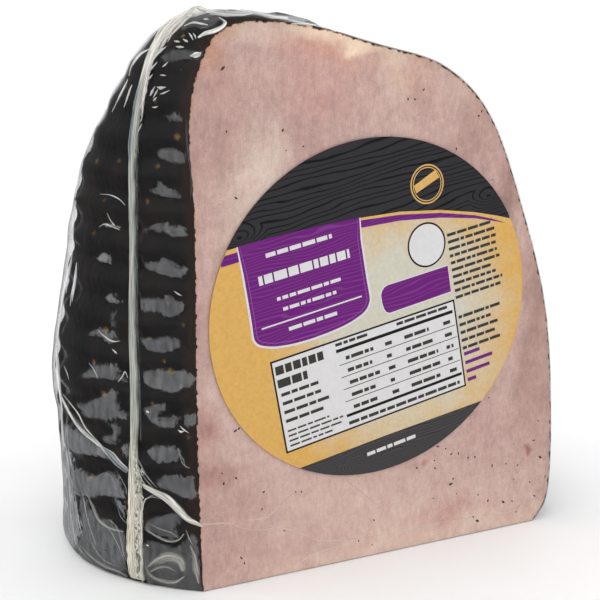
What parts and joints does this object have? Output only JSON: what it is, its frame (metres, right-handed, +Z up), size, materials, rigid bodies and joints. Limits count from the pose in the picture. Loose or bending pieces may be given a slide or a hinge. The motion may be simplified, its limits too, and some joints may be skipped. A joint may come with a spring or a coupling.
{
  "type": "vacuum-packed glazed ham",
  "caption": "Half of a boneless smoked ham with a dark glazed, ribbed rind, cut flat in front and below, sealed tight in clear film with an oval paper label.",
  "frame": {"origin": "middle of the flat base, on the surface it stands on, under the centre of its bounding box", "axes": "+Z up along the ham, -Y out of the flat cut face with the label, +X to the right of that face"},
  "size_m": [0.167, 0.1012, 0.1654],
  "materials": {
    "glazed_rind": "dark caramel glazed ham rind and pink cured cut face under clear vacuum film",
    "label_paper": "satin printed paper label"
  },
  "bodies": {
    "root": {"vacuum_pack": "glazed_rind", "label": "label_paper"}
  },
  "joints": []
}
